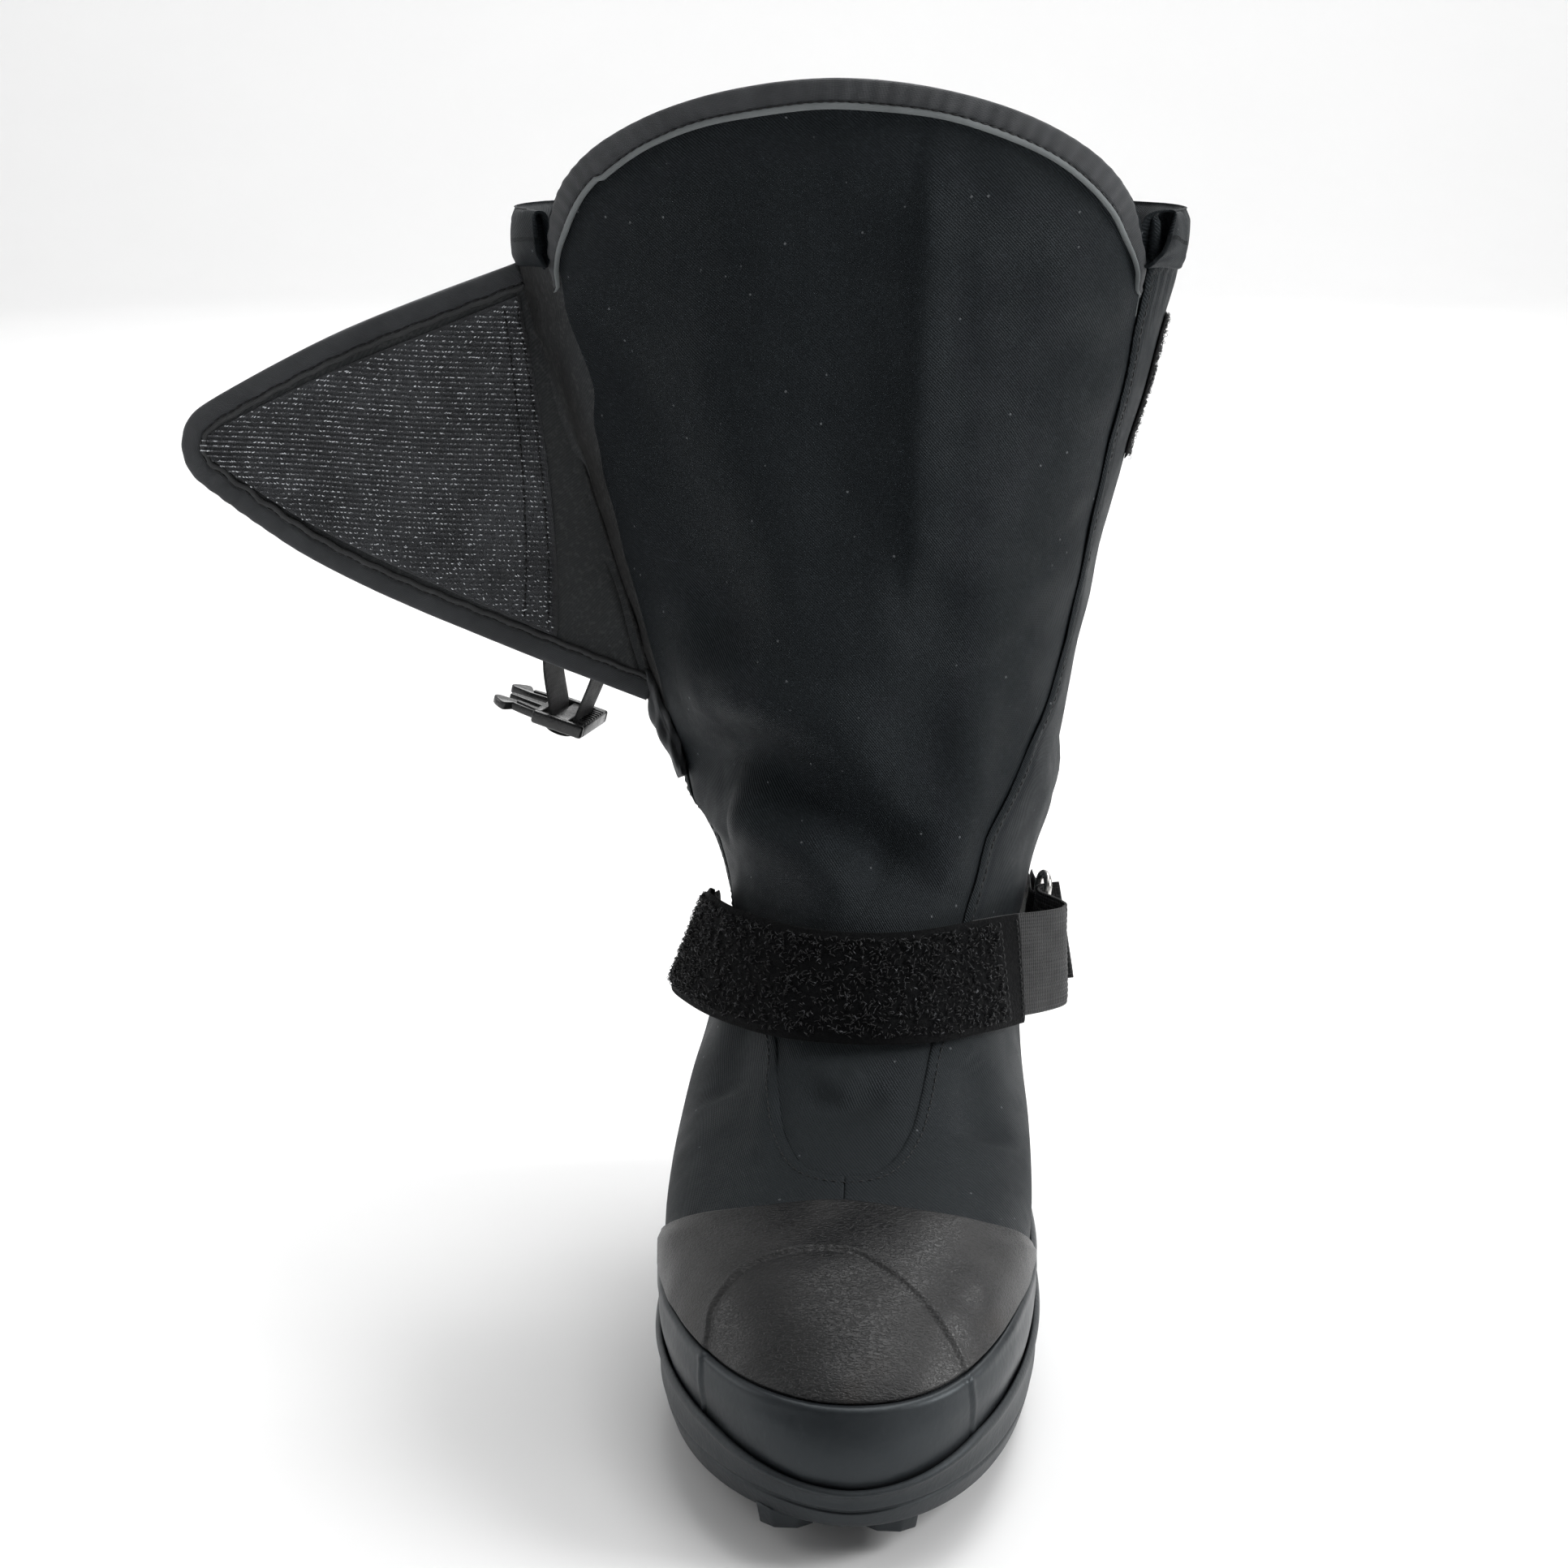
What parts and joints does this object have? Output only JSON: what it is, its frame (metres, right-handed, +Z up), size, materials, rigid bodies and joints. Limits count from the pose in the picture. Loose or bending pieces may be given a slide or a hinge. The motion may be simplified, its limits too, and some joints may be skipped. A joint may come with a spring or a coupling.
{
  "type": "overboot",
  "caption": "Tall cold-weather overboot, left: bellowed nylon leg with a folded-out closing flap and ankle strap, rubber rand, toe cap and lugged cup sole, open at the collar.",
  "frame": {"origin": "on the floor, at the centre of the middle heel lug's flat face", "axes": "+Z up the leg, -Y towards the toe, +X towards the boot's outer side"},
  "size_m": [0.3533, 0.3377, 0.4304],
  "materials": {
    "sole_rubber": "matt moulded rubber, darker than the rand",
    "foam": "plain cloth-faced foam",
    "nylon": "near-black coated nylon with a fine diagonal weave",
    "rubber": "smooth matt blue-grey rubber",
    "cap_rubber": "grained half-gloss rubber",
    "binding_tape": "folded ribbed tape with one row of stitches",
    "hooks": "woven hook tape in close rows",
    "pile": "deep black looped pile",
    "elastic": "grey-black ribbed elastic",
    "steel": "plated wire",
    "webbing": "flat black webbing",
    "plastic": "black moulded plastic, half gloss"
  },
  "bodies": {
    "root": {"outsole": "sole_rubber", "insole": "foam", "upper": "nylon", "rand": "rubber", "toe_cap": "cap_rubber", "bellows_binding": "binding_tape", "closure_flap": "nylon", "flap_binding": "binding_tape", "hook_patch": "hooks", "loop_patch": "pile", "ankle_strap": "pile", "strap_elastic": "elastic", "strap_ring": "steel", "ring_loop": "webbing", "buckle": "plastic", "buckle_webbing": "webbing"}
  },
  "joints": []
}
